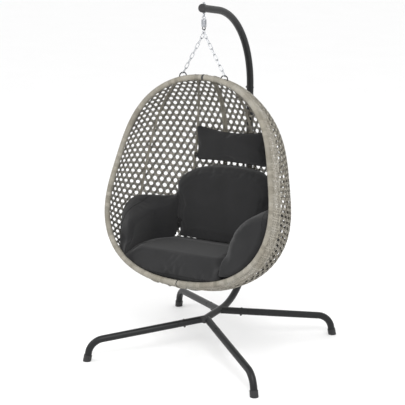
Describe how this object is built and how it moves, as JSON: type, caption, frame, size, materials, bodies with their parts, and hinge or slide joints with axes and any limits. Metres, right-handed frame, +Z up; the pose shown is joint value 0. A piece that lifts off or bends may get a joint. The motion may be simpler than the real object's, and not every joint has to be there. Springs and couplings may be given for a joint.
{
  "type": "hanging egg chair",
  "caption": "Egg-shaped wicker basket seat with cushions, hung by chains and a spring from a bent tube stand on splayed legs.",
  "frame": {"origin": "on the floor at the centre of the four feet", "axes": "+Z up; the chair faces -Y and the pole stands behind the basket on +Y; +X is to the right seen from the front"},
  "size_m": [1.0444, 1.0444, 1.9004],
  "materials": {
    "powder_coat": "satin",
    "black_plastic": "matte",
    "black_bolts": "satin",
    "zinc": "satin",
    "black_steel": "satin",
    "wicker": "satin",
    "basket_steel": "satin",
    "cushion_fabric": "matte"
  },
  "bodies": {
    "stand": {"lower_pole": "powder_coat", "middle_pole": "powder_coat", "upper_pole": "powder_coat", "front_left_leg": "powder_coat", "front_right_leg": "powder_coat", "rear_left_leg": "powder_coat", "rear_right_leg": "powder_coat", "front_left_foot": "black_plastic", "front_right_foot": "black_plastic", "rear_left_foot": "black_plastic", "rear_right_foot": "black_plastic", "arm_end_cap": "black_plastic", "spine_end_cap": "black_plastic", "arm_saddles": "black_plastic", "leg_bolts": "black_bolts", "leg_cap_nuts": "black_plastic", "pole_bolts": "black_bolts", "pole_cap_nuts": "black_plastic"},
    "swivel": {"eye_bolt": "zinc", "eye_lock_nut": "zinc"},
    "spring": {"spring_top_loop": "zinc", "hanger_spring": "zinc"},
    "hook": {"spring_hook": "black_steel"},
    "chains": {"shackle": "zinc", "left_chain": "zinc", "right_chain": "zinc"},
    "basket": {"left_side_weave": "wicker", "left_middle_weave": "wicker", "left_inner_weave": "wicker", "right_side_weave": "wicker", "right_middle_weave": "wicker", "right_inner_weave": "wicker", "left_rim_wrap": "wicker", "right_rim_wrap": "wicker", "left_rim_tube": "basket_steel", "right_rim_tube": "basket_steel", "left_centre_rib": "basket_steel", "left_inner_rib": "basket_steel", "left_outer_rib": "basket_steel", "right_centre_rib": "basket_steel", "right_inner_rib": "basket_steel", "right_outer_rib": "basket_steel", "left_hanging_ring": "black_steel", "right_hanging_ring": "black_steel", "seam_bolts": "black_bolts", "seam_nuts": "black_bolts", "rim_joint_plugs": "basket_steel", "seat_cushion": "cushion_fabric", "back_cushion": "cushion_fabric", "left_arm_cushion": "cushion_fabric", "right_arm_cushion": "cushion_fabric", "head_pillow": "cushion_fabric"}
  },
  "joints": [
    {"name": "spin", "type": "hinge", "parent": "stand", "child": "swivel", "pos_m": [0, -0.10718, 1.868], "axis": [0, 0, 1], "range_deg": [-45, 45]},
    {"name": "swing_fore_aft", "type": "hinge", "parent": "swivel", "child": "spring", "pos_m": [0, -0.10718, 1.83206], "axis": [1, 0, 0], "range_deg": [-12, 12]},
    {"name": "bounce", "type": "slide", "parent": "spring", "child": "hook", "axis": [0, 0, -1], "range_m": [0, 0.03], "stiffness_N_per_m": 33000, "springref_m": -0.016, "deforming": ["hanger_spring"]},
    {"name": "swing_side", "type": "hinge", "parent": "hook", "child": "chains", "pos_m": [0, -0.10718, 1.76386], "axis": [0, 1, 0], "range_deg": [-12, 12]},
    {"name": "basket_tilt", "type": "hinge", "parent": "chains", "child": "basket", "pos_m": [0, -0.10718, 1.53389], "axis": [1, 0, 0], "range_deg": [-10, 10]}
  ]
}
